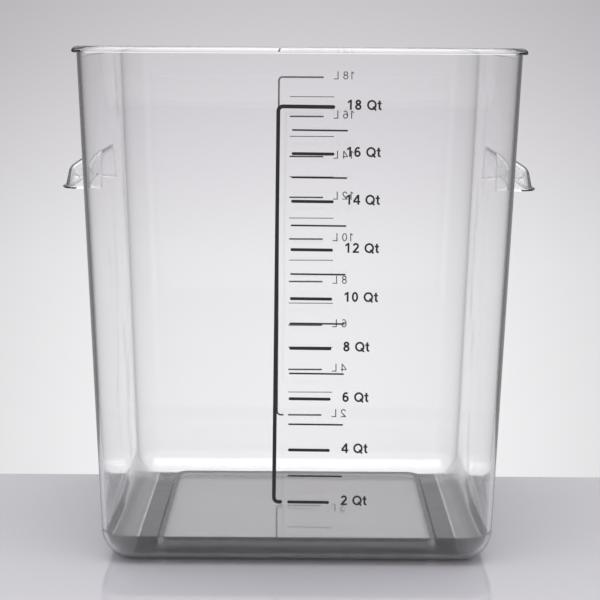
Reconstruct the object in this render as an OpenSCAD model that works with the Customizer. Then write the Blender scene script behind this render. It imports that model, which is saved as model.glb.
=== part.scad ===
// A clear, square tub for proofing dough. Four drafted walls stand on a floor with a raised
// panel, under a flanged rim, with a hooded handle on the left and on the right. A quart
// scale is printed on the front and a litre scale on the back, each mark at the height
// where the tub holds that volume.
// Millimetres. The origin is the middle of the base, +Z is up, and the front faces -Y.

/* [Tub] */
// Height from the table to the top of the rim
tub_h = 318; // [250:1:400]
// Outside width of the walls, taken at the height of the rim
top_w = 269.1; // [255:0.1:300]
// Outside width of the walls, carried down to the table past the bottom radius
base_w = 241.5; // [225:0.1:250]
// Radius of the upright corners, seen from above
corner_r = 20; // [20:0.5:35]
// Outside radius between the walls and the base
foot_r = 19.6; // [12:0.1:20]
// Thickness of the walls at the rim
top_wall = 2.1; // [1.5:0.1:4]
// Thickness of the walls just above the bottom radius
foot_wall = 2.6; // [1.5:0.1:4]
// Thickness of the floor
floor_t = 2.6; // [1.5:0.1:4]

/* [Floor panel] */
// Width of the raised panel's top
panel_w = 176; // [100:1:185]
// Height of the hollow under the panel
panel_rise = 5; // [2:0.1:10]
// How far the panel's sides lean outwards on their way down
panel_lean = 2; // [0.5:0.1:6]
// Corner radius of the panel
panel_r = 8; // [4:0.5:20]

/* [Rim] */
// Height of the rim
rim_h = 4; // [3.5:0.1:10]
// How far the rim stands out from the wall
rim_out = 3.2; // [1:0.1:8]
// Depth of the curve on the rim's upper outer edge, measured down
rim_fall = 3; // [1:0.1:3.4]
// Width of that curve, measured inwards
rim_curve = 4; // [1:0.1:4.5]

/* [Handles] */
// Depth of the handles' lower edge below the top of the rim
handle_drop = 91.2; // [60:0.1:140]
// Height of a handle, from its lower edge to where it meets the wall
handle_h = 24; // [20:0.1:40]
// Length of the hood at its lower edge
handle_l = 102; // [70:1:150]
// How much each end of the hood draws in on its way up
handle_taper = 6; // [0:0.5:12]
// How far the hood stands out from the wall at its lower edge
handle_out = 20.6; // [20:0.1:35]
// How much nearer to the wall the hood's rounded shoulder lies
handle_lean = 0.8; // [0:0.1:4]
// Radius of the hood's shoulders and upright edges
handle_r = 9; // [7:0.5:9]
// Height of the middle of the rounded shoulder above the lower edge
shoulder_h = 8; // [5:0.1:10]
// Thickness of the hood
handle_wall = 2.2; // [1.5:0.1:4]
// How far the lip round the opening stands out from the hood
lip_out = 2.1; // [0.8:0.1:4]
// Thickness of the lip
lip_t = 2; // [1:0.1:4]

/* [Oval outline on the right wall] */
// Length of the outline
oval_l = 37; // [20:1:80]
// Height of the outline
oval_h = 15; // [8:0.5:30]
// Width of its raised line
oval_line = 0.9; // [0.5:0.1:3]
// Height of its raised line above the wall
oval_rise = 0.4; // [0.1:0.1:1]
// Depth of its middle below the top of the rim
oval_drop = 20; // [14:1:60]
// Distance of its middle from the wall's centre line, towards the back
oval_shift = -6.5; // [-40:0.5:40]

/* [Printed scales] */
// Thickness of the ink
ink_t = 0.15; // [0.1:0.05:0.5]
// Length of the even marks
even_l = 25.5; // [15:0.5:35]
// Length of the odd marks
odd_l = 33.3; // [15:0.1:45]
// Distance from the middle of a bracket's upright to where the marks start
mark_gap = 8.2; // [5:0.1:15]
// Distance from the middle of a bracket's upright to its labels
label_gap = 40.6; // [30:0.1:60]
// Height of the capitals and figures
letter_h = 6; // [3:0.1:9]
// Height of a label's middle above its mark
label_lift = 1.5; // [0:0.1:4]
// Least height of bare wall between a scale and the rim
bare_top = 12; // [8:1:60]
// Radius of the brackets' corners, on the middle of the line
bracket_r = 2.8; // [1.5:0.1:5]
// Length of a bracket's foot
bracket_foot = 5; // [4:0.1:8]

/* [Quart scale] */
// Highest mark of the quart scale
quart_last = 18; // [4:1:22]
// Place of the bracket's upright across the front, to the right of the centre
quart_x = -13.3; // [-40:0.1:20]
// Height of the front print above its true place
quart_lift = 1.3; // [-2:0.1:2]
// How far the front print leans to the right, in degrees
quart_tilt = 0.4; // [-1:0.1:1]
// Width of the bracket's line
quart_bracket_line = 2.3; // [1:0.1:3]
// Width of the even marks
quart_even_line = 1.8; // [0.5:0.1:3]
// Width of the odd marks
quart_odd_line = 1; // [0.5:0.1:3]
// Width of the strokes of the figures, as a share of their height
quart_weight = 0.19; // [0.08:0.01:0.22]

/* [Litre scale] */
// Highest mark of the litre scale
litre_last = 18; // [4:1:22]
// Place of the bracket's upright across the back, to the right of the centre as seen there
litre_x = 15.6; // [-20:0.1:40]
// Height of the back print above its true place
litre_lift = 0.5; // [-2:0.1:2]
// Width of the bracket's line
litre_bracket_line = 1.3; // [1:0.1:3]
// Width of the even marks
litre_even_line = 1.2; // [0.5:0.1:3]
// Width of the odd marks
litre_odd_line = 0.6; // [0.5:0.1:3]
// Width of the strokes of the figures, as a share of their height
litre_weight = 0.13; // [0.08:0.01:0.22]

/* [Hidden] */

CLEAR = [0.84, 0.89, 0.93, 0.5];
INK = [0.04, 0.04, 0.05];

// Cubic millimetres in one quart and in one litre
QUART = 946353;
LITRE = 1000000;
// Both scales start here: the first marks would lie in the bottom radius
FIRST_MARK = 2;
// Facets in a full turn of the shapes that a hull joins
ROUND = 32;
// Straight steps in each round end or corner of a printed line
END_STEPS = 10;
// Thickness of a slice that only gives a hull an outline
SLICE = 0.01;
// Extra length of a cut past the face where it comes out
PAST = 1;

draft = atan((top_w - base_w) / 2 / tub_h);
wall_top = tub_h - rim_h;
handle_z = tub_h - handle_drop;
// Height of the raised panel's top above the table
panel_top = floor_t + panel_rise;

// Half of the outside width at height z
function outer_half(z) = base_w / 2 + z * tan(draft);
// Thickness of the wall at height z
function wall_at(z) = foot_wall + (top_wall - foot_wall) * (z - foot_r) / (tub_h - foot_r);
// Half of the inside width at height z
function inner_half(z) = outer_half(z) - wall_at(z);
// Distance of a corner's centre from the middle of the tub at height z
function corner_at(z) = outer_half(z) - corner_r;

// Volume below the top of the bottom radius: the edge of the floor is a quarter round of
// radius inner_r, and seen from above the corners reach corner_out past their centres
function foot_volume(c = corner_at(foot_r), e = corner_r - foot_wall - inner_r, r = inner_r) =
    4 * c * c * r + 8 * c * (e * r + PI * r * r / 4)
    + PI * (e * e * r + e * PI * r * r / 2 + 2 * pow(r, 3) / 3);
inner_r = foot_r - floor_t;
// Volume that the raised panel takes away
function panel_volume(a = panel_w, b = panel_w + 2 * panel_lean) =
    panel_rise * (a * a + a * b + b * b) / 3;
// Area of the inside at height z, above the bottom radius
function inner_area(z) =
    4 * pow(inner_half(z), 2) - (4 - PI) * pow(corner_r - wall_at(z), 2);
// Volume between the bottom radius and height z, exact by Simpson's rule
function wall_volume(z) = (z - foot_r) / 6
    * (inner_area(foot_r) + 4 * inner_area((z + foot_r) / 2) + inner_area(z));
function volume(z) = foot_volume() - panel_volume() + wall_volume(z);
// Height at which the tub holds a volume, found by halving the span between lo and hi
function level(v, lo = foot_r, hi = tub_h) =
    hi - lo < SLICE ? (lo + hi) / 2
    : volume((lo + hi) / 2) > v ? level(v, lo, (lo + hi) / 2)
    : level(v, (lo + hi) / 2, hi);

// The tub

// A disc with a rounded lower edge, the corner of the tub's foot
module foot(r, edge) {
    rotate_extrude($fn = ROUND) {
        square([max(r - edge, SLICE), edge]);
        intersection() {
            translate([r - edge, edge]) circle(edge, $fn = ROUND);
            square([r, edge]);
        }
    }
}

// The drafted block with rounded corners that is the tub's outside, or the space inside it
module block(foot_radius, edge, top_radius, low, high) {
    hull() {
        for (x = [-1, 1], y = [-1, 1]) {
            translate([x * corner_at(foot_r), y * corner_at(foot_r), low])
                foot(foot_radius, edge);
            translate([x * corner_at(high), y * corner_at(high), high - SLICE])
                cylinder(r = top_radius, h = SLICE, $fn = ROUND);
        }
    }
}

module outside() {
    block(corner_r, foot_r, corner_r, 0, wall_top);
}

module inside() {
    block(corner_r - foot_wall, inner_r, corner_r - top_wall, floor_t, tub_h);
}

// A block on a square foot, narrower at the top by lean on every side
module panel_block(width, height, lean, r) {
    hull() {
        for (slice = [[0, lean], [height - SLICE, 0]]) {
            half = width / 2 + slice[1] - r;
            translate([0, 0, slice[0]])
                for (x = [-half, half], y = [-half, half])
                    translate([x, y, 0]) cylinder(r = r, h = SLICE, $fn = ROUND);
        }
    }
}

module oval(grow) {
    r = oval_h / 2;
    for (x = [-1, 1]) translate([x * (oval_l / 2 - r), 0]) circle(r + grow, $fn = 2 * ROUND);
    square([oval_l - 2 * r, 2 * (r + grow)], center = true);
}

// The raised outline on the right wall, let into the wall by its own height
module oval_outline() {
    on_wall(90)
        translate([oval_shift, (tub_h - oval_drop) / cos(draft), -oval_rise])
            linear_extrude(2 * oval_rise)
                difference() {
                    oval(0);
                    oval(-oval_line);
                }
}

module tub() {
    color(CLEAR)
    difference() {
        union() {
            difference() {
                outside();
                inside();
            }
            translate([0, 0, floor_t / 2])
                panel_block(panel_w, panel_top - floor_t / 2, panel_lean, panel_r);
            oval_outline();
        }
        translate([0, 0, -PAST])
            panel_block(panel_w - 2 * floor_t, panel_rise + PAST, panel_lean,
                        max(panel_r - floor_t, 1));
    }
}

// The rim

// Section of the rim, with x measured from the centre of the corner
function rim_section(c = corner_at(wall_top)) = concat(
    [[inner_half(wall_top) - c, wall_top], [rim_edge(c) - rim_tuck, wall_top],
     [rim_edge(c), wall_top + rim_tuck]],
    [for (a = [90 : -10 : 0])
        [rim_edge(c) - rim_curve * (1 - sin(a)), tub_h - rim_fall * (1 - cos(a))]],
    [[inner_half(tub_h) - c, tub_h]]
);
// Outer edge of the rim, and the small slope under it
function rim_edge(c) = outer_half(wall_top) - c + rim_out;
rim_tuck = 0.5;

module rim() {
    c = corner_at(wall_top);
    color(CLEAR)
    for (turn = [0 : 90 : 270]) rotate(turn) {
        translate([c, c, 0]) rotate_extrude(angle = 90, $fn = 2 * ROUND)
            polygon(rim_section());
        translate([c, c, 0]) rotate([90, 0, 0])
            linear_extrude(2 * c) polygon(rim_section());
    }
}

// The handles

// The hood as a full form, or the space inside it when inset by its thickness
module hood(inset, below) {
    face = outer_half(handle_z);
    r = handle_r - inset;
    foot_x = face + handle_out - handle_r;
    foot_y = handle_l / 2 - handle_r;
    hull() {
        for (y = [-1, 1]) {
            for (x = [face - handle_r, foot_x])
                translate([x, y * foot_y, -below]) cylinder(r = r, h = lip_t / 2 + below, $fn = ROUND);
            translate([foot_x - handle_lean, y * (foot_y - handle_taper), shoulder_h])
                sphere(r, $fn = ROUND);
            translate([face, y * (foot_y - handle_taper), handle_h - handle_r])
                sphere(r, $fn = ROUND);
        }
    }
}

// The lip round the hood's opening, with a rounded edge
module lip() {
    face = outer_half(handle_z);
    round = lip_t / 2;
    hull() {
        for (y = [-1, 1], x = [face - handle_r, face + handle_out - handle_r])
            translate([x, y * (handle_l / 2 - handle_r), 0]) {
                cylinder(r = handle_r + lip_out - round, h = lip_t, $fn = ROUND);
                translate([0, 0, round]) cylinder(r = handle_r + lip_out, h = SLICE, $fn = ROUND);
            }
    }
}

// Everything behind the outer face of the right wall, near a handle
module behind_wall() {
    low = handle_z - 2 * handle_h;
    high = tub_h;
    rotate([90, 0, 0]) linear_extrude(2 * handle_l, center = true)
        polygon([[0, low], [outer_half(low), low], [outer_half(high), high], [0, high]]);
}

module handle(side) {
    mirror([side < 0 ? 1 : 0, 0, 0])
    difference() {
        translate([0, 0, handle_z]) difference() {
            union() {
                hood(0, 0);
                lip();
            }
            hood(handle_wall, PAST);
        }
        behind_wall();
    }
}

module handle_left() {
    color(CLEAR) handle(-1);
}

module handle_right() {
    color(CLEAR) handle(1);
}

// The printed scales

// Lays a flat drawing on the outer face of a wall: turn 0 is the front, 90 the right wall
// and 180 the back. Heights are measured along the slope of the wall.
module on_wall(turn) {
    rotate(turn) translate([0, -base_w / 2, 0]) rotate([90 + draft, 0, 0]) children();
}

// Height of a mark on the slope of the wall
function mark_y(n, unit, lift) = (level(n * unit) + lift) / cos(draft);
// The marks that the tub has room for under its rim
function marks(last, unit) = [for (n = [FIRST_MARK : last])
    if (level(n * unit) < tub_h - bare_top && n * unit < volume(wall_top)) n];
quarts = marks(quart_last, QUART);
litres = marks(litre_last, LITRE);
function last_of(list) = list[len(list) - 1];

module front_print() {
    turn_y = tub_h / 2;
    color(INK) on_wall(0) linear_extrude(ink_t)
        translate([quart_x, turn_y]) rotate(-quart_tilt) translate([0, -turn_y]) children();
}

module back_print() {
    color(INK) on_wall(180) linear_extrude(ink_t) translate([litre_x, 0]) children();
}

// A level line with round ends, from x1 to x2
module mark(x1, x2, line) {
    half = line / 2;
    polygon(concat(arc(x1 + half, 0, half, half, 90, 270, END_STEPS),
                   arc(x2 - half, 0, half, half, -90, 90, END_STEPS)));
}

// A square bracket that opens to the right, with rounded corners and round ends
module bracket(high, low, arm, line) {
    half = line / 2;
    r = min(bracket_r, bracket_foot - half);
    out = r + half;
    in = r - half;
    polygon(concat(arc(arm - half, high, half, half, -90, 90, END_STEPS),
                   arc(r, high - r, out, out, 90, 180, END_STEPS),
                   arc(r, low + r, out, out, 180, 270, END_STEPS),
                   arc(bracket_foot - half, low, half, half, -90, 90, END_STEPS),
                   arc(r, low + r, in, in, 270, 180, END_STEPS),
                   arc(r, high - r, in, in, 180, 90, END_STEPS)));
}

// The highest mark is the bracket's arm, so the rows of marks leave it out
module rows(list, unit, lift, length, line, odd) {
    for (n = list) if (n % 2 == odd && n < last_of(list))
        translate([0, mark_y(n, unit, lift)]) mark(mark_gap, mark_gap + length, line);
}

module quart_bracket() {
    front_print() bracket(mark_y(last_of(quarts), QUART, quart_lift),
                          mark_y(FIRST_MARK, QUART, quart_lift),
                          mark_gap + even_l, quart_bracket_line);
}

module quart_even_marks() {
    front_print() rows(quarts, QUART, quart_lift, even_l, quart_even_line, 0);
}

module quart_odd_marks() {
    front_print() rows(quarts, QUART, quart_lift, odd_l, quart_odd_line, 1);
}

module quart_numerals() {
    front_print() for (n = quarts) if (n % 2 == 0)
        translate([label_gap, mark_y(n, QUART, quart_lift) + label_lift - letter_h / 2])
            label(str(n, " Qt"), quart_weight);
}

// From behind, the litre scale opens to the left
module litre_bracket() {
    back_print() mirror([1, 0])
        bracket(mark_y(last_of(litres), LITRE, litre_lift),
                mark_y(FIRST_MARK, LITRE, litre_lift),
                mark_gap + even_l, litre_bracket_line);
}

module litre_even_marks() {
    back_print() mirror([1, 0]) rows(litres, LITRE, litre_lift, even_l, litre_even_line, 0);
}

module litre_odd_marks() {
    back_print() mirror([1, 0]) rows(litres, LITRE, litre_lift, odd_l, litre_odd_line, 1);
}

module litre_numerals() {
    back_print() for (n = litres) if (n % 2 == 0)
        translate([-label_gap - letter_h * label_width(str(n, " L")),
                   mark_y(n, LITRE, litre_lift) + label_lift - letter_h / 2])
            label(str(n, " L"), litre_weight);
}

// Plain figures and letters, drawn one unit high from their lower left corner

// Width from the start of one character to the start of the next
function advance(c) = c == " " ? 0.39 : c == "Q" ? 1.08 : c == "t" ? 0.47 : 0.77;
function label_width(word, i = 0) =
    i == len(word) ? 0 : advance(word[i]) + label_width(word, i + 1);

module label(word, weight) {
    for (i = [0 : len(word) - 1])
        translate([letter_h * (label_width(word) - label_width(word, i)), 0])
            scale(letter_h) character(word[i], weight);
}

function arc(x, y, rx, ry, from, to, steps) =
    [for (i = [0 : steps]) let (a = from + (to - from) * i / steps) [x + rx * cos(a), y + ry * sin(a)]];
function reversed(list) = [for (i = [len(list) - 1 : -1 : 0]) list[i]];

// A curved stroke along an oval, from one angle to another
module curve(x, y, rx, ry, from, to, s) {
    steps = ceil(abs(to - from) / 15);
    polygon(concat(arc(x, y, rx, ry, from, to, steps),
                   reversed(arc(x, y, rx - s, ry - s, from, to, steps))));
}

module ring(x, y, rx, ry, s) {
    difference() {
        polygon(arc(x, y, rx, ry, 0, 345, 23));
        polygon(arc(x, y, rx - s, ry - s, 0, 345, 23));
    }
}

module character(c, s) {
    if (c == "0") ring(0.36, 0.5, 0.32, 0.51, s);
    if (c == "1") {
        translate([0.3, 0]) square([s, 1]);
        polygon([[0.3 + s, 1], [0.3 + s / 3, 1], [0.08, 0.82], [0.08, 0.82 - s], [0.3 + s / 3, 0.98 - s]]);
    }
    if (c == "2") {
        curve(0.355, 0.69, 0.315, 0.32, -40, 170, s);
        polygon([[0.04, 0], [0.04, 0.12],
                 [0.355 + (0.315 - s) * cos(35), 0.69 - (0.32 - s) * sin(35)],
                 [0.355 + 0.315 * cos(35), 0.69 - 0.32 * sin(35)],
                 [0.04 + s * 1.4, s * 0.6], [0.04 + s * 1.4, 0]]);
        translate([0.04, 0]) square([0.64, s * 0.9]);
    }
    if (c == "4") {
        translate([0.62 - s, 0]) square([s, 1]);
        translate([0.02, 0.2]) square([0.7, s * 0.9]);
        rise = 0.2 + s * 1.1;
        slope = (1 - rise) / (0.6 - s);
        under = 0.02 + s * 1.19;
        polygon([[0.02, 0.2], [0.02, rise], [0.62 - s, 1], [0.62, 1],
                 [0.62, rise + slope * (0.62 - under)], [under - (rise - 0.2) / slope, 0.2]]);
    }
    if (c == "6") {
        ring(0.36, 0.325, 0.32, 0.335, s);
        curve(0.4, 0.5, 0.36, 0.51, 55, 190, s);
    }
    if (c == "8") {
        ring(0.36, 0.745, 0.285, 0.265, s);
        ring(0.36, 0.29, 0.32, 0.3, s);
    }
    if (c == "Q") {
        ring(0.54, 0.5, 0.48, 0.51, s);
        polygon([[0.6, 0.3], [0.6 + s * 0.8, 0.3 + s * 0.5], [1.04, 0.02], [1.04 - s * 0.8, 0.02 - s * 0.6]]);
    }
    if (c == "t") {
        translate([0.12, s]) square([s, 0.95 - s]);
        translate([0, 0.74 - s * 0.8]) square([0.42, s * 0.8]);
        curve(0.12 + s * 1.3, s * 1.2, s * 1.3, s * 1.25, 180, 270, s);
        translate([0.1 + s * 1.3, -s * 0.05]) square([0.32 - s * 1.3, s]);
    }
    if (c == "L") {
        translate([0.1, 0]) square([s, 1]);
        translate([0.1, 0]) square([0.58, s * 0.9]);
    }
}

tub();
rim();
handle_left();
handle_right();
quart_bracket();
quart_even_marks();
quart_odd_marks();
quart_numerals();
litre_bracket();
litre_even_marks();
litre_odd_marks();
litre_numerals();
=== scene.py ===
import math

import bmesh
import bpy
import numpy as np
from bpy.props import FloatProperty, FloatVectorProperty, PointerProperty
from mathutils import Matrix, Vector


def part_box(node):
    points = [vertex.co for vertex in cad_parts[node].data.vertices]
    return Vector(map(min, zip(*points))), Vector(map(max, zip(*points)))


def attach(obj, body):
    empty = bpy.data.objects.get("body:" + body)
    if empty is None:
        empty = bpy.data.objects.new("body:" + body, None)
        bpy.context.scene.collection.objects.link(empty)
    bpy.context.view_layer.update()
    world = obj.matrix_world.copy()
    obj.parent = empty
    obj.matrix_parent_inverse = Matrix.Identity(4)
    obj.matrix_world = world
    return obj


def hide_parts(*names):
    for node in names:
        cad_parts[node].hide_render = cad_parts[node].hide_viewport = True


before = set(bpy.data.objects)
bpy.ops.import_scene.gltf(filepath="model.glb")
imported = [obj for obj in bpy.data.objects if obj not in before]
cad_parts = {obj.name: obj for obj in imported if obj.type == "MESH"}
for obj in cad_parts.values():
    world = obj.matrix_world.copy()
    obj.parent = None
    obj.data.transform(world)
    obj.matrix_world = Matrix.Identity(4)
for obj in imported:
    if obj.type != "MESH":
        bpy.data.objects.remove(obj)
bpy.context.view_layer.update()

bl_info = {
    "name": "Dough Tub",
    "version": (1, 0, 0),
    "blender": (4, 5, 0),
    "location": "View3D > Sidebar > Dough Tub",
    "description": "A clear square tub for proofing dough, with printed volume scales",
    "category": "Add Mesh",
}

RIM_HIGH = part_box("rim")[1]
TUB_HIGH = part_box("tub")[1]
GRIP_LOW, GRIP_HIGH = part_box("handle_right")
FRONT_INK = ("quart_bracket", "quart_even_marks", "quart_odd_marks", "quart_numerals")
BACK_INK = ("litre_bracket", "litre_even_marks", "litre_odd_marks", "litre_numerals")

# How far a row of points lies, in metres, from the curve, wall, panel or hollow beside it
BESIDE_CURVE = 0.0008
BESIDE_WALL = 0.0004
INSIDE_PANEL = 0.003
OUTSIDE_PANEL = 0.0015
OUTSIDE_HOLLOW = 0.002
# Rows of points up a wall: the second one's height above the foot's curve, the height of the first
# even one, how far under the rim the last even one lies, and how many even ones there are
SECOND_ROW, FIRST_EVEN, LAST_EVEN, EVEN_ROWS = 0.004, 0.04, 0.008, 9
# Half-width of the smallest ring, at the middle of the panel
MIDDLE = 0.001
# Least corner radius of a ring
LEAST_CORNER = 0.0004
# Points along the curves at the foot, on the rim's outer and inner edges, and round a corner
FOOT_STEPS, RIM_STEPS, EDGE_STEPS, CORNER_STEPS = 19, 10, 5, 25
# Decimals of a metre to which the points of a handle's forms are rounded
POINT_DECIMALS = 8
# The pebbled band: how far it ends below the top of the foot's curve, how far it starts above the
# base, and the least product, seen from above, of a face's place and normal where it looks outwards
BAND_TOP, BAND_START, OUTWARD = 0.0008, 1e-4, 1e-4
# Angle between two faces past which the edge between them is sharp
SHARP = math.radians(32)
# Width of the camera's sensor in millimetres
SENSOR = 36
# The part of a noise's range that is spread over a range of values
NOISE_MIDDLE = (0.25, 0.75)
# The backdrop from low to high: sine of the elevation, and display grey
BACKDROP = ((-0.3, 248), (-0.214, 248), (-0.168, 246), (-0.1217, 242), (-0.0865, 234),
            (-0.051, 225), (-0.004, 211), (0.0253, 203), (0.1, 180))
# The fall-off sideways: how far sideways for each length forwards, and the share of light left there
SIDEWAYS, SIDE_LIGHT = (0.0, 0.6), (1.0, 0.2)
# Sines of the elevation between which the white ceiling fades in
CEILING = (0.15, 0.45)
# The display grey where violet starts, how many greys lower it is full, how much green it then
# takes, and the factor on the blue of every grey
VIOLET_FROM, VIOLET_OVER, VIOLET, BLUE = 248, 30, 0.03, 1.015


def length(name, description, default):
    """A size that a user can change, in metres."""
    return FloatProperty(name=name, description=description, default=default, min=0.0, unit="LENGTH")


def factor(name, description, default):
    """A plain number between nought and one."""
    return FloatProperty(name=name, description=description, default=default, min=0.0, max=1.0)


def colour(name, description, default):
    """A colour, in linear light."""
    return FloatVectorProperty(
        name=name, description=description, default=default, size=3, min=0.0, max=1.0, subtype="COLOR"
    )


class TubSizes(bpy.types.PropertyGroup):
    """Sizes of the clear moulding that the frame's boxes don't give."""

    wall_slope: factor("Wall slope", "How far a wall leans out for each metre of height", 0.0434)
    corner: length("Corner radius", "Radius of the upright corners, seen from above", 0.020)
    foot: length("Foot radius", "Outside radius between the walls and the base", 0.0196)
    top_wall: length("Wall at the rim", "Thickness of the walls at the rim", 0.0021)
    foot_wall: length("Wall at the foot", "Thickness of the walls above the bottom radius", 0.0026)
    floor: length("Floor", "Thickness of the floor", 0.0026)
    panel: length("Panel", "Width of the raised floor panel", 0.176)
    panel_rise: length("Panel rise", "Height of the hollow under the panel", 0.005)
    panel_lean: length("Panel lean", "How far the panel's sides lean outwards", 0.002)
    panel_corner: length("Panel corner", "Corner radius of the panel", 0.008)
    rim_fall: length("Rim curve height", "Depth of the curve on the rim's outer edge", 0.003)
    rim_curve: length("Rim curve width", "Width of the curve on the rim's outer edge", 0.004)
    rim_tuck: length("Rim tuck", "Small slope under the rim's outer edge", 0.0005)
    edge: length("Edge", "Radius of the small moulded edges", 0.0005)


class HandleSizes(bpy.types.PropertyGroup):
    """Sizes of the hooded handles."""

    wall: length("Hood thickness", "Thickness of the hood", 0.0022)
    lip: length("Lip", "How far the lip stands out from the hood", 0.0021)
    lip_height: length("Lip thickness", "Thickness of the lip", 0.002)
    corner: length("Hood radius", "Radius of the hood's shoulders and upright edges", 0.009)
    taper: length("Taper", "How much each end draws in on its way up", 0.006)
    lean: length("Lean", "How much nearer to the wall the shoulder lies", 0.0008)
    shoulder: length("Shoulder", "Height of the shoulder's middle above the lower edge", 0.008)


class Finish(bpy.types.PropertyGroup):
    """Colours of the plastic, the ink and the table, and how the plastic bends and takes light."""

    plastic: colour("Plastic", "Tint of the clear plastic's surface", (0.995, 0.994, 0.996))
    depth: colour("Depth", "Colour that the plastic takes on along its length", (0.1, 0.08, 0.12))
    ink: colour("Ink", "Colour of the printed scales", (0.012, 0.012, 0.014))
    table: colour("Table", "Colour of the table", (0.50, 0.49, 0.53))
    absorption: FloatProperty(
        name="Absorption", description="Light lost inside the plastic for each metre", default=5.0, min=0.0
    )
    refraction: FloatProperty(
        name="Refraction", description="Index of refraction of the plastic", default=1.58, min=1.0, max=2.0
    )


# Shapes

def arc(centre, radii, start, end, steps):
    """Points of an oval arc in the plane of half-width and height: the centre plus each radius
    times the cosine and sine of an angle that runs evenly from start to end, in degrees."""
    angle = np.radians(np.linspace(start, end, steps))
    return np.c_[centre[0] + radii[0] * np.cos(angle), centre[1] + radii[1] * np.sin(angle)]


def perimeter():
    """The outline of a rounded square as two sets of vectors, so that a point of the outline is
    (half-width less corner radius) times the first plus the corner radius times the second."""
    near_tangent = np.array([0.0, 0.25, 0.5, 0.7, 0.85, 0.93, 0.97, 0.99, 0.997])
    straight = np.r_[-near_tangent[:0:-1], near_tangent]
    angle = np.radians(np.linspace(0, 90, CORNER_STEPS))
    centres = np.r_[np.c_[np.ones_like(straight), straight], np.ones((CORNER_STEPS, 2))]
    rounds = np.r_[np.c_[np.ones_like(straight), np.zeros_like(straight)],
                   np.c_[np.cos(angle), np.sin(angle)]]
    turns = [np.array([[c, s], [-s, c]]) for c, s in ((1, 0), (0, 1), (-1, 0), (0, -1))]
    return (np.concatenate([centres @ turn for turn in turns]),
            np.concatenate([rounds @ turn for turn in turns]))


def rounded_square_shell(half, corner, height):
    """Carries a section round a square with rounded corners. Row by row the section gives the
    half-width, the corner radius and the height, and each of the two end rows is closed by a fan."""
    centres, rounds = perimeter()
    across = (half - corner)[:, None, None] * centres + corner[:, None, None] * rounds
    up = np.broadcast_to(height[:, None, None], across.shape[:2] + (1,))
    rings = np.concatenate([across, up], axis=2)
    rows, columns = rings.shape[:2]
    verts = np.r_[rings.reshape(-1, 3), [[0, 0, height[0]], [0, 0, height[-1]]]]
    index = np.arange(rows * columns).reshape(rows, columns)
    beside = np.roll(index, -1, axis=1)
    quads = np.stack([index[:-1], beside[:-1], beside[1:], index[1:]], axis=-1).reshape(-1, 4)
    first, last = rows * columns, rows * columns + 1
    fans = np.r_[np.c_[np.full(columns, first), beside[0], index[0]],
                 np.c_[np.full(columns, last), index[-1], beside[-1]]]
    return verts, quads.tolist() + fans.tolist()


def furthest_points(centres, radii, flat, across=120, up=60):
    """Points of the rounded form that stretches over a set of balls and level discs: for each
    direction on a grid of bearing and elevation, the point that lies furthest that way."""
    bearing, rise = np.meshgrid(np.linspace(0, 2 * np.pi, across, endpoint=False),
                                np.linspace(-np.pi / 2, np.pi / 2, up))
    level = np.stack([np.cos(bearing), np.sin(bearing), np.zeros_like(bearing)], -1).reshape(-1, 3)
    way = level * np.cos(rise).reshape(-1, 1) + [0, 0, 1] * np.sin(rise).reshape(-1, 1)
    reach = np.where(flat, np.cos(rise).reshape(-1, 1), 1.0) * radii
    best = np.argmax(way @ centres.T + reach, axis=1)
    outward = np.where(flat[best][:, None], level, way)
    return centres[best] + radii[best][:, None] * outward


def new_piece(name, verts, faces):
    """A mesh object of the given points and faces, at the origin."""
    mesh = bpy.data.meshes.new(name)
    mesh.from_pydata(np.asarray(verts).tolist(), [], faces)
    mesh.update()
    piece = bpy.data.objects.new(name, mesh)
    bpy.context.scene.collection.objects.link(piece)
    return piece


def stretched_form(name, balls):
    """A closed form over balls and discs, given as (x, y, z, radius, whether it is a disc)."""
    balls = np.array(balls, float)
    points = furthest_points(balls[:, :3], balls[:, 3], balls[:, 4] > 0)
    bm = bmesh.new()
    for point in np.unique(points.round(POINT_DECIMALS), axis=0):
        bm.verts.new(point)
    hull = bmesh.ops.convex_hull(bm, input=bm.verts)
    spare = {e for e in hull["geom_interior"] + hull["geom_unused"]
             if isinstance(e, bmesh.types.BMVert)}
    bmesh.ops.delete(bm, geom=list(spare), context="VERTS")
    bmesh.ops.recalc_face_normals(bm, faces=bm.faces)
    piece = new_piece(name, np.zeros((0, 3)), [])
    bm.to_mesh(piece.data)
    bm.free()
    return piece


def joined(piece, other, operation):
    """Joins other to piece, or cuts it away, as exact solids, and removes other."""
    change = piece.modifiers.new(operation.title(), "BOOLEAN")
    change.operation = operation
    change.solver = "EXACT"
    change.object = other
    bpy.context.view_layer.objects.active = piece
    bpy.ops.object.modifier_apply(modifier=change.name)
    bpy.data.objects.remove(other)


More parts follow.
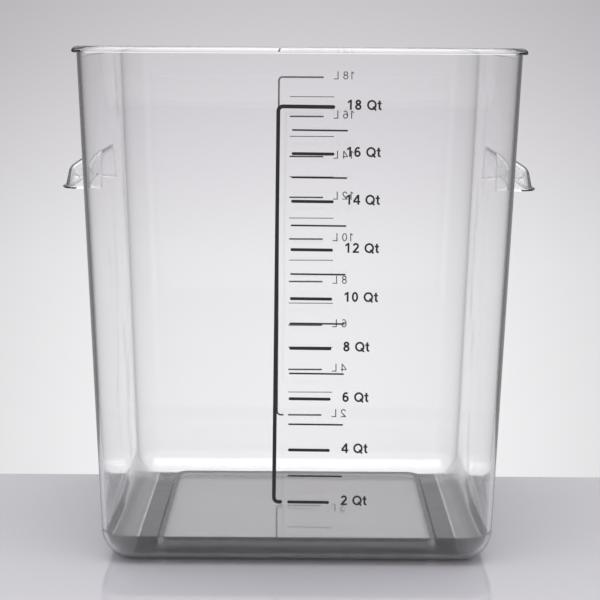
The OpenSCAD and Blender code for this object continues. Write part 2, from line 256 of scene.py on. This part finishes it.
def tub_section(s):
    """The section of the moulding from the middle of the panel's underside, out and up the wall,
    over the rim and down the inside, as half-width, corner radius and height."""
    wall_top, top, rim_half = TUB_HIGH.z, RIM_HIGH.z, RIM_HIGH.x

    def outer(z):
        return TUB_HIGH.x + (z - wall_top) * s.wall_slope

    def wall(z):
        return s.foot_wall + (s.top_wall - s.foot_wall) * (z - s.foot) / (top - s.foot)

    def inner(z):
        return outer(z) - wall(z)

    low = outer(s.foot) - s.corner
    slant = math.degrees(math.atan(s.wall_slope))
    panel, rise = s.panel / 2, s.panel_rise
    hollow = panel - s.floor
    heights = np.r_[s.foot + BESIDE_CURVE, s.foot + SECOND_ROW,
                    np.linspace(FIRST_EVEN, wall_top - LAST_EVEN, EVEN_ROWS), wall_top - BESIDE_CURVE]
    foot_half = outer(s.foot) - s.foot * math.cos(math.radians(slant))
    lip = hollow + s.panel_lean
    under = np.array([[MIDDLE, rise], [hollow * 0.5, rise], [hollow - INSIDE_PANEL, rise],
                      [hollow - s.edge, rise], [hollow - 0.1 * s.edge, rise - 0.4 * s.edge],
                      [lip, s.edge], [lip + 0.4 * s.edge, 0], [lip + OUTSIDE_HOLLOW, 0],
                      [foot_half - BESIDE_CURVE, 0]])
    outer_foot = arc((foot_half, s.foot), (s.foot, s.foot), -90, -slant, FOOT_STEPS)
    outer_wall = np.c_[outer(heights), heights]
    rim = np.r_[[[outer(wall_top), wall_top], [outer(wall_top) + BESIDE_WALL, wall_top],
                 [rim_half - s.rim_tuck, wall_top], [rim_half, wall_top + s.rim_tuck]],
                arc((rim_half - s.rim_curve, top - s.rim_fall), (s.rim_curve, s.rim_fall),
                    0, 90, RIM_STEPS),
                arc((inner(top) + s.edge, top - s.edge), (s.edge, s.edge), 90, 180, EDGE_STEPS)]
    inner_wall = np.c_[inner(heights), heights][::-1]
    inner_radius = s.foot - s.floor
    inner_half = inner(s.foot) - inner_radius * math.cos(math.radians(slant))
    inner_foot = arc((inner_half, s.foot), (inner_radius, inner_radius), -slant, -90, FOOT_STEPS)
    ledge = panel + s.panel_lean
    floor_top = s.floor + rise
    floor = np.array([[inner_half - BESIDE_CURVE, s.floor], [ledge + OUTSIDE_PANEL, s.floor],
                      [ledge + s.edge, s.floor], [ledge, s.floor + s.edge],
                      [panel, floor_top - s.edge], [panel - s.edge, floor_top],
                      [panel - INSIDE_PANEL, floor_top], [panel * 0.5, floor_top],
                      [MIDDLE, floor_top]])
    outside = np.concatenate([under, outer_foot, outer_wall, rim])
    inside = np.concatenate([inner_wall, inner_foot, floor])
    corner_out = np.where(outside[:, 1] > s.foot, s.corner + outside[:, 0] - outer(outside[:, 1]),
                          outside[:, 0] - low)
    corner_in = np.where(inside[:, 1] > s.foot, s.corner - wall(inside[:, 1]), inside[:, 0] - low)
    corner_out[:len(under) - 1] = np.minimum(s.panel_corner, under[:-1, 0] * 0.5)
    corner_in[1 - len(floor):] = np.minimum(s.panel_corner, floor[1:, 0] * 0.5)
    section = np.concatenate([outside, inside])
    corners = np.maximum(np.r_[corner_out, corner_in], LEAST_CORNER)
    return section[:, 0], corners, section[:, 1]


def handle_balls(s, wall, inset, below):
    """The balls and discs that a hood stretches over, drawn in by inset and carried down by below."""
    radius = s.corner
    foot_x = GRIP_HIGH.x - s.lip - radius
    foot_y = GRIP_HIGH.y - s.lip - radius
    foot_z = GRIP_LOW.z
    balls = []
    for side in (-1, 1):
        for x in (wall - radius, foot_x):
            for z in (foot_z - below, foot_z + s.lip_height / 2):
                balls.append((x, side * foot_y, z, radius - inset, 1))
        inner_y = side * (foot_y - s.taper)
        balls.append((foot_x - s.lean, inner_y, foot_z + s.shoulder, radius - inset, 0))
        balls.append((wall, inner_y, GRIP_HIGH.z - radius, radius - inset, 0))
    return balls


def lip_balls(s, wall):
    """The discs that the lip round the opening stretches over."""
    half = s.lip_height / 2
    balls = []
    for side in (-1, 1):
        for x in (wall - s.corner, GRIP_HIGH.x - s.lip - s.corner):
            y = side * (GRIP_HIGH.y - s.lip - s.corner)
            balls.append((x, y, GRIP_LOW.z, s.corner + s.lip - half, 1))
            balls.append((x, y, GRIP_LOW.z + 2 * half, s.corner + s.lip - half, 1))
            balls.append((x, y, GRIP_LOW.z + half, s.corner + s.lip, 1))
    return balls


def handle_piece(s, tub):
    """The right handle as one closed solid, let into the wall by half the wall's thickness at the
    rim."""
    wall_z = GRIP_LOW.z
    wall = TUB_HIGH.x + (wall_z - TUB_HIGH.z) * tub.wall_slope
    piece = stretched_form("handle", handle_balls(s, wall, inset=0.0, below=0.0))
    joined(piece, stretched_form("lip", lip_balls(s, wall)), "UNION")
    space = stretched_form("space", handle_balls(s, wall, inset=s.wall, below=0.002))
    joined(piece, space, "DIFFERENCE")
    bm = bmesh.new()
    bm.from_mesh(piece.data)
    outward = Vector((1, 0, -tub.wall_slope)).normalized()
    cut = bmesh.ops.bisect_plane(bm, geom=bm.verts[:] + bm.edges[:] + bm.faces[:], dist=1e-7,
                                 plane_co=Vector((wall, 0, wall_z)) - outward * tub.top_wall / 2,
                                 plane_no=outward, clear_inner=True)
    open_edges = [e for e in cut["geom_cut"] if isinstance(e, bmesh.types.BMEdge)]
    bmesh.ops.triangle_fill(bm, use_beauty=True, use_dissolve=False, edges=open_edges)
    bmesh.ops.recalc_face_normals(bm, faces=bm.faces)
    bm.to_mesh(piece.data)
    bm.free()
    return piece


def mirrored(piece):
    """A copy of a piece on the other side of the tub, with its faces turned the right way."""
    copy = bpy.data.objects.new(piece.name + "_left", piece.data.copy())
    bpy.context.scene.collection.objects.link(copy)
    copy.data.transform(Matrix.Scale(-1, 4, (1, 0, 0)))
    copy.data.flip_normals()
    return copy


# Materials

def shader(name):
    """A new node material and its main shader."""
    material = bpy.data.materials.new(name)
    material.use_nodes = True
    return material, material.node_tree, material.node_tree.nodes["Principled BSDF"]


def speckle(tree, scale, detail=2.0):
    """Noise on object coordinates, at a scale per metre."""
    place = tree.nodes.new("ShaderNodeTexCoord")
    noise = tree.nodes.new("ShaderNodeTexNoise")
    noise.inputs["Scale"].default_value = scale
    noise.inputs["Detail"].default_value = detail
    tree.links.new(place.outputs["Object"], noise.inputs["Vector"])
    return noise.outputs["Fac"]


def ranged(tree, value, source, target, interpolation="LINEAR"):
    """Maps a value from one range to another, and holds it there at the ends."""
    mapped = tree.nodes.new("ShaderNodeMapRange")
    mapped.interpolation_type = interpolation
    mapped.inputs["From Min"].default_value = source[0]
    mapped.inputs["From Max"].default_value = source[1]
    mapped.inputs["To Min"].default_value = target[0]
    mapped.inputs["To Max"].default_value = target[1]
    tree.links.new(value, mapped.inputs["Value"])
    return mapped.outputs["Result"]


def spread(tree, noise, low, high):
    """Spreads the middle half of a noise over a range of values."""
    return ranged(tree, noise, NOISE_MIDDLE, (low, high))


def reckoned(tree, operation, *values):
    """The result of a calculation on one or two values."""
    node = tree.nodes.new("ShaderNodeMath")
    node.operation = operation
    for value, socket in zip(values, node.inputs):
        tree.links.new(value, socket)
    return node.outputs[0]


def relief(tree, main, value, strength, depth):
    """Bump from a value, with its depth in metres."""
    bump = tree.nodes.new("ShaderNodeBump")
    bump.inputs["Strength"].default_value = strength
    bump.inputs["Distance"].default_value = depth
    tree.links.new(value, bump.inputs["Height"])
    tree.links.new(bump.outputs["Normal"], main.inputs["Normal"])


def see_through(tree, main, finish):
    """Lets light through a shader, and takes some of it away along its path inside the piece."""
    main.inputs["Base Color"].default_value = (*finish.plastic, 1)
    main.inputs["Transmission Weight"].default_value = 1.0
    main.inputs["IOR"].default_value = finish.refraction
    inside = tree.nodes.new("ShaderNodeVolumeAbsorption")
    inside.inputs["Color"].default_value = (*finish.depth, 1)
    inside.inputs["Density"].default_value = finish.absorption
    tree.links.new(inside.outputs["Volume"], tree.nodes["Material Output"].inputs["Volume"])


def clear_plastic(finish):
    """Polished clear plastic, with the faint waviness of a moulded wall."""
    material, tree, main = shader("clear plastic")
    see_through(tree, main, finish)
    tree.links.new(spread(tree, speckle(tree, scale=60), low=0.0, high=0.02), main.inputs["Roughness"])
    relief(tree, main, speckle(tree, scale=18, detail=1.0), strength=0.08, depth=0.001)
    return material


def pebbled_plastic(finish):
    """The same plastic with the pebbled finish of the tub's foot."""
    material, tree, main = shader("pebbled plastic")
    see_through(tree, main, finish)
    tree.links.new(spread(tree, speckle(tree, scale=400), low=0.12, high=0.2), main.inputs["Roughness"])
    relief(tree, main, speckle(tree, scale=1300), strength=0.5, depth=0.0001)
    return material


def printed_ink(finish):
    """Black screen-printing ink, a little uneven."""
    material, tree, main = shader("printed ink")
    main.inputs["Base Color"].default_value = (*finish.ink, 1)
    tree.links.new(spread(tree, speckle(tree, scale=500), low=0.35, high=0.6), main.inputs["Roughness"])
    relief(tree, main, speckle(tree, scale=1500), strength=0.2, depth=0.00005)
    return material


class DOUGHTUB_OT_moulding(bpy.types.Operator):
    """The tub, its rim and its handles, as the one clear moulding that they are"""

    bl_idname = "doughtub.moulding"
    bl_label = "Clear moulding"

    def execute(self, context):
        sizes, grips = context.scene.dough_tub_sizes, context.scene.dough_tub_handles
        verts, faces = rounded_square_shell(*tub_section(sizes))
        moulding = new_piece("clear_moulding", verts, faces)
        handle = handle_piece(grips, sizes)
        other = mirrored(handle)
        joined(moulding, handle, "UNION")
        joined(moulding, other, "UNION")
        mesh = moulding.data
        for material in (clear_plastic(context.scene.dough_tub_finish),
                         pebbled_plastic(context.scene.dough_tub_finish)):
            mesh.materials.append(material)
        centres = np.empty(len(mesh.polygons) * 3)
        normals = np.empty(len(mesh.polygons) * 3)
        mesh.polygons.foreach_get("center", centres)
        mesh.polygons.foreach_get("normal", normals)
        centres, normals = centres.reshape(-1, 3), normals.reshape(-1, 3)
        outward = (normals * centres)[:, :2].sum(axis=1) > OUTWARD
        pebbled = (centres[:, 2] < sizes.foot - BAND_TOP) & (centres[:, 2] > BAND_START) & outward
        mesh.polygons.foreach_set("material_index", pebbled.astype(np.int32))
        mesh.polygons.foreach_set("use_smooth", np.ones(len(mesh.polygons), bool))
        mesh.set_sharp_from_angle(angle=SHARP)
        even = moulding.modifiers.new("Even shading", "WEIGHTED_NORMAL")
        even.keep_sharp = True
        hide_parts("tub", "rim", "handle_left", "handle_right")
        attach(moulding, "root")
        return {"FINISHED"}


class DOUGHTUB_OT_print(bpy.types.Operator):
    """The ink of both printed scales"""

    bl_idname = "doughtub.print"
    bl_label = "Printed scales"

    def execute(self, context):
        ink = printed_ink(context.scene.dough_tub_finish)
        for name in FRONT_INK + BACK_INK:
            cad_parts[name].data.materials.clear()
            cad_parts[name].data.materials.append(ink)
        return {"FINISHED"}


# Stage

class Stage(bpy.types.PropertyGroup):
    """The camera, the table and the light."""

    lens: FloatProperty(name="Lens", description="Focal length in millimetres", default=101.61, min=10.0)
    shift: FloatProperty(name="Shift", description="Upright shift of the lens", default=-0.1742)
    distance: length("Distance", "Distance of the camera from the middle of the tub", 1.138)
    height: length("Camera height", "Height of the camera above the table", 0.3146)
    side: FloatProperty(name="Side", description="Camera's distance to the right", default=0.0007)
    pitch: FloatProperty(name="Pitch", description="Downward tilt of the camera", default=0.0841,
                         subtype="ANGLE")
    roll: FloatProperty(name="Roll", description="Roll of the camera", default=0.0062, subtype="ANGLE")
    table_edge: length("Table edge", "Distance of the table's far edge behind the tub's middle", 0.1047)


def backdrop_grey(display):
    """A display grey between 0 and 255 as linear light, by the sRGB formula, a little blue, and
    with a little violet that sets in below the lightest greys."""
    light = ((display / 255 + 0.055) / 1.055) ** 2.4
    violet = min(1.0, max(0.0, (VIOLET_FROM - display) / VIOLET_OVER))
    return (light, light * (1 - VIOLET * violet), light * BLUE, 1)


def build_camera(stage):
    """The camera in front of the tub, pitched down and rolled a little."""
    data = bpy.data.cameras.new("camera")
    data.lens = stage.lens
    data.sensor_width = SENSOR
    data.shift_y = stage.shift
    camera = bpy.data.objects.new("camera", data)
    bpy.context.scene.collection.objects.link(camera)
    ahead = Vector((0, math.cos(stage.pitch), -math.sin(stage.pitch)))
    up = Vector((0, math.sin(stage.pitch), math.cos(stage.pitch)))
    turn = Matrix((ahead.cross(up), up, -ahead)).transposed() @ Matrix.Rotation(stage.roll, 3, "Z")
    camera.matrix_world = Matrix.Translation((stage.side, -stage.distance, stage.height)) @ turn.to_4x4()
    bpy.context.scene.camera = camera


def build_table(stage, finish):
    """A glossy slab whose top is the table plane. Its far edge lies under the tub's back wall, just
    past the ring that the tub rests on."""
    half, near, deep = 1.6, -2.5, 0.02
    far = stage.table_edge
    corners = [(-half, near), (half, near), (half, far), (-half, far)]
    verts = [(x, y, z) for z in (0, -deep) for x, y in corners]
    faces = [(0, 1, 2, 3), (7, 6, 5, 4)] + [(i, i + 4, (i + 1) % 4 + 4, (i + 1) % 4) for i in range(4)]
    table = new_piece("table", verts, faces)
    material, tree, main = shader("table top")
    main.inputs["Base Color"].default_value = (*finish.table, 1)
    tree.links.new(spread(tree, speckle(tree, scale=9), low=0.06, high=0.12), main.inputs["Roughness"])
    table.data.materials.append(material)


def backdrop_colour(tree, height):
    """The backdrop's colour by the sine of the elevation."""
    low, high = BACKDROP[0][0], BACKDROP[-1][0]
    ramp = tree.nodes.new("ShaderNodeValToRGB")
    elements = ramp.color_ramp.elements
    for i, (z, display) in enumerate(BACKDROP):
        element = elements[i] if i < 2 else elements.new(1.0)
        element.position = (z - low) / (high - low)
        element.color = backdrop_grey(display)
    tree.links.new(ranged(tree, height, (low, high), (0.0, 1.0)), ramp.inputs["Fac"])
    return ramp.outputs["Color"]


def build_world():
    """A pale backdrop before and behind the tub, brightest low in the middle and darker sideways,
    under a white ceiling. Diffuse rays meet white on every side."""
    world = bpy.data.worlds.new("studio")
    bpy.context.scene.world = world
    world.use_nodes = True
    tree = world.node_tree
    add, link = tree.nodes.new, tree.links.new
    place = add("ShaderNodeTexCoord")
    parts = add("ShaderNodeSeparateXYZ")
    link(place.outputs["Generated"], parts.inputs[0])
    x, y, z = parts.outputs
    shade = add("ShaderNodeVectorMath")
    shade.operation = "SCALE"
    link(backdrop_colour(tree, z), shade.inputs[0])
    slant = reckoned(tree, "ABSOLUTE", reckoned(tree, "DIVIDE", x, y))
    link(ranged(tree, slant, SIDEWAYS, SIDE_LIGHT, "SMOOTHSTEP"), shade.inputs["Scale"])
    seen = tree.nodes["Background"]
    link(shade.outputs["Vector"], seen.inputs["Color"])
    lit = add("ShaderNodeBackground")
    lit.inputs["Color"].default_value = (1, 1, 1, 1)
    path = add("ShaderNodeLightPath")
    ceiling = ranged(tree, z, CEILING, (0.0, 1.0))
    mix = add("ShaderNodeMixShader")
    link(reckoned(tree, "MAXIMUM", path.outputs["Is Diffuse Ray"], ceiling), mix.inputs["Fac"])
    link(seen.outputs[0], mix.inputs[1])
    link(lit.outputs[0], mix.inputs[2])
    link(mix.outputs[0], tree.nodes["World Output"].inputs["Surface"])


def build_lamp(name, place, aim, size, power):
    """A flat lamp of a size in metres and a power in watts, turned towards a point."""
    data = bpy.data.lights.new(name, "AREA")
    data.shape = "RECTANGLE"
    data.size, data.size_y = size
    data.energy = power
    lamp = bpy.data.objects.new(name, data)
    lamp.matrix_world = (Matrix.Translation(place)
                         @ (Vector(aim) - Vector(place)).to_track_quat("-Z", "Y").to_matrix().to_4x4())
    bpy.context.scene.collection.objects.link(lamp)


class DOUGHTUB_OT_stage(bpy.types.Operator):
    """The table, the backdrop, the lamp and the camera"""

    bl_idname = "doughtub.stage"
    bl_label = "Stage"

    def execute(self, context):
        stage = context.scene.dough_tub_stage
        build_camera(stage)
        build_table(stage, context.scene.dough_tub_finish)
        build_world()
        build_lamp("top light", place=(0, -0.3, 1.4), aim=(0, 0, 0.1), size=(1.4, 1.0), power=10)
        context.scene.view_settings.view_transform = "Standard"
        return {"FINISHED"}


class DOUGHTUB_PT_panel(bpy.types.Panel):
    """Lists the tub's parts and their sizes"""

    bl_idname = "DOUGHTUB_PT_panel"
    bl_label = "Dough Tub"
    bl_space_type = "VIEW_3D"
    bl_region_type = "UI"
    bl_category = "Dough Tub"

    def draw(self, context):
        for operator in OPERATORS:
            self.layout.operator(operator.bl_idname)
        for name, group in GROUPS.items():
            box = self.layout.box()
            for prop in group.__annotations__:
                box.prop(getattr(context.scene, name), prop)


OPERATORS = (DOUGHTUB_OT_moulding, DOUGHTUB_OT_print, DOUGHTUB_OT_stage)
GROUPS = {"dough_tub_sizes": TubSizes, "dough_tub_handles": HandleSizes, "dough_tub_finish": Finish,
          "dough_tub_stage": Stage}


def register():
    for cls in (*GROUPS.values(), *OPERATORS, DOUGHTUB_PT_panel):
        bpy.utils.register_class(cls)
    for name, group in GROUPS.items():
        setattr(bpy.types.Scene, name, PointerProperty(type=group))


def unregister():
    for name in GROUPS:
        delattr(bpy.types.Scene, name)
    for cls in (DOUGHTUB_PT_panel, *reversed(OPERATORS), *reversed(GROUPS.values())):
        bpy.utils.unregister_class(cls)


def main():
    register()
    bpy.ops.doughtub.moulding()
    bpy.ops.doughtub.print()
    bpy.ops.doughtub.stage()
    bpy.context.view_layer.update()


if __name__ == "__main__":
    main()
